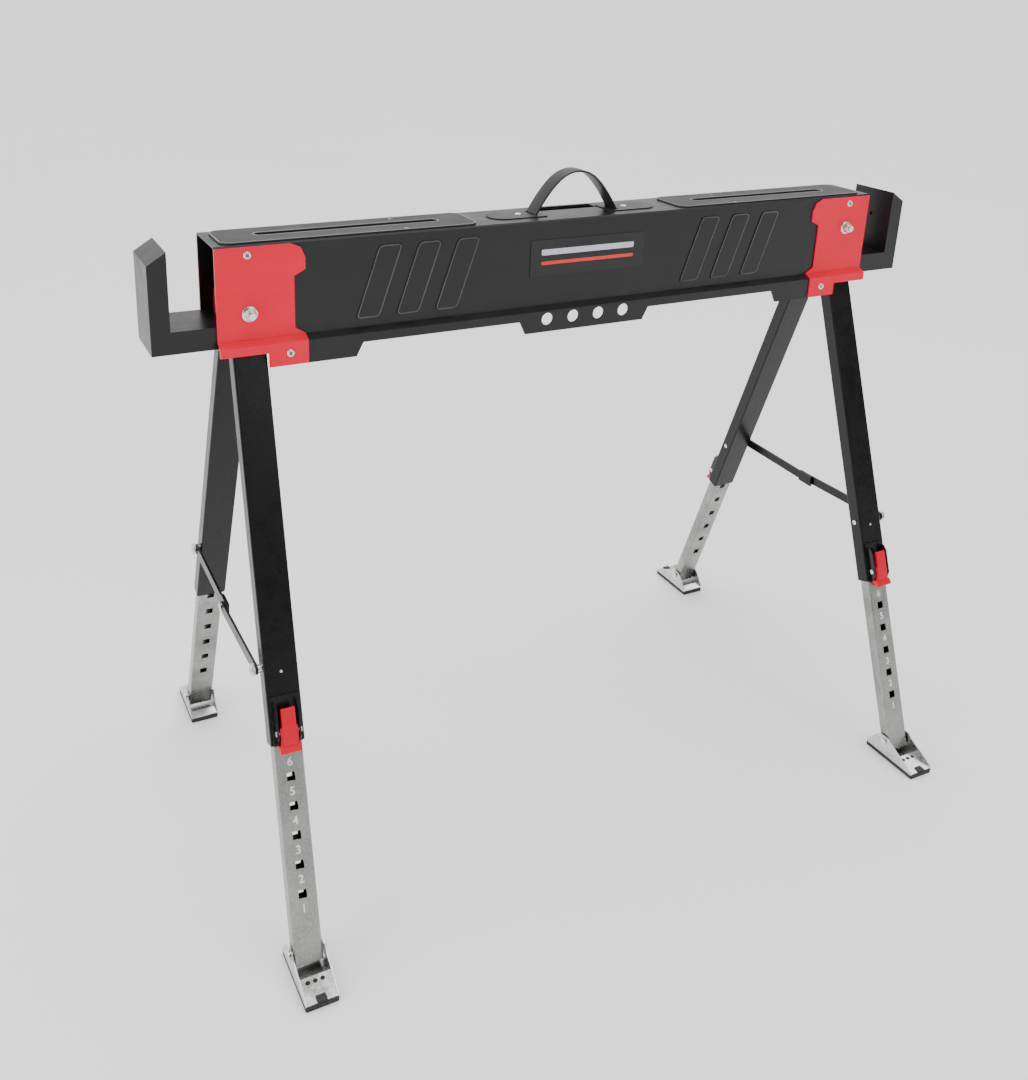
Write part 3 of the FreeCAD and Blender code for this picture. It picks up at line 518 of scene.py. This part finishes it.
def badge():
    """Two plain level stripes on the badge plate, with no lettering."""
    low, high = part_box("badge_plate")
    at = Matrix.Translation((low[0], low[1], low[2])) @ Matrix.Rotation(math.pi / 2, 4, "X")

    def stripe(name, z0, z1, key):
        slab(name, rounded_loop((0.016, z0), (0.155, z1), 0.0015, 4), 0.00025, key, "beam", at)

    stripe("badge_grey_stripe", 0.0270, 0.0345, "badge_grey")
    stripe("badge_red_stripe", 0.0145, 0.0190, "badge_red")


# ---------------------------------------------------------------- leg details
# Stations are millimetres down a leg from its top; the foot pin is the frame's origin.
FOOT_PIN, BRACE_STUD = 738.0, 404.0
FIRST_NUMERAL, HOLE_PITCH = 515.6, 34.2
INNER_FACE, OUTER_FACE = -0.00815, -0.0100


def on_leg(place, x, y, station):
    return place @ Vector((x, y, (FOOT_PIN - station) / 1000.0))


def numerals(tag, place):
    """The height settings, 6 to 1, printed between the square holes."""
    spin = Matrix(((1, 0, 0), (0, 0, -1), (0, 1, 0))).to_4x4()
    for i, numeral in enumerate("654321"):
        text = bpy.data.curves.new("%s_numeral_%s" % (tag, numeral), "FONT")
        text.body = numeral
        text.size = 0.0135
        text.extrude = 0.0001
        text.offset = 0.00025
        text.align_x, text.align_y = "CENTER", "CENTER"
        text.materials.append(M["white"])
        obj = bpy.data.objects.new(text.name, text)
        bpy.context.scene.collection.objects.link(obj)
        spot = on_leg(place, 0, INNER_FACE, FIRST_NUMERAL + HOLE_PITCH * i)
        obj.matrix_world = Matrix.Translation(spot) @ place.to_3x3().to_4x4() @ spin
        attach(obj, tag + "_extension")


def leg_fasteners(end, face, tag, place):
    """Two small rivets on the outward face, and the nut on the brace's stud."""
    outwards = place.to_3x3() @ Vector((0, -1, 0))
    dome = [(0.0017, -0.0002), (0.0016, 0.0002), (0.0010, 0.0005), (0, 0.0006)]
    turned(tag + "_leg_rivets", dome, "steel", tag + "_leg",
           [facing(on_leg(place, 0, OUTER_FACE, s), outwards) for s in (42.0, 410.0)])

    out = -1.0 if end == "left" else 1.0
    side = out if face == "front" else -out
    seat = 0.0286 if face == "front" else 0.0253
    stud = [facing(on_leg(place, side * seat, 0, BRACE_STUD), place.to_3x3() @ Vector((side, 0, 0)))]
    nut = [(0.0, -0.0001), (0.0070, -0.0001), (0.0077, 0.0005), (0.0077, 0.0036), (0.0069, 0.0043),
           (0.0, 0.0043)]
    turned(tag + "_brace_nut", nut, "steel", tag + "_leg", stud, sides=6)
    tip = [(0.0034, 0.0043), (0.0034, 0.0050), (0.0026, 0.0056), (0, 0.0056)]
    turned(tag + "_brace_stud_tip", tip, "steel", tag + "_leg", stud)


def foot_and_latch(face, tag, place):
    """The deck's three holes as dark discs of painted shade, a black sheet of painted shade in the latch
    window, and two dots on the sole's tab.
    """
    low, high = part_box(tag + "_foot_sole")
    middle = (low[0] + high[0]) / 2
    front = -1 if face == "front" else 1
    hole_row, deck_top = front * 0.29113, 0.01138
    hole = [(0.0029, -0.0006), (0.0029, 0.0004), (0, 0.00045)]
    # Dark discs for the deck holes: painted shade in place of openings.
    turned(tag + "_deck_holes", hole, "badge", tag + "_shoe",
           [Matrix.Translation((middle + x, hole_row, deck_top)) for x in (-0.009, 0.0, 0.009)])

    # A black sheet filling the housing's window behind the lever: painted shade.
    shade_sheet_place = place @ Matrix.Translation((0, -0.0103, 0)) @ Matrix.Rotation(math.pi / 2, 4, "X")
    slab(tag + "_latch_window_shade", rounded_loop((-0.0083, 0.264), (0.0083, 0.3015), 0.0015, 4), 0.0005,
         "housing", tag + "_leg", shade_sheet_place)

    y = (low[1] if front < 0 else high[1]) - front * 0.0048
    turned(tag + "_sole_dots", [(0.0013, -0.0001), (0.0013, 0.00015), (0, 0.0002)], "badge",
           tag + "_shoe", [Matrix.Translation((middle + x, y, high[2])) for x in (-0.0026, 0.0026)])


def leg_details():
    for end, face in SIDES:
        tag = "%s_%s" % (end, face)
        place = leg_frame(end, face)
        numerals(tag, place)
        leg_fasteners(end, face, tag, place)
        foot_and_latch(face, tag, place)


beam_rivets()
fold_fasteners()
pad_rim_highlights()
rib_edges()
strap()
badge()
leg_details()
camera()
floor_and_light()
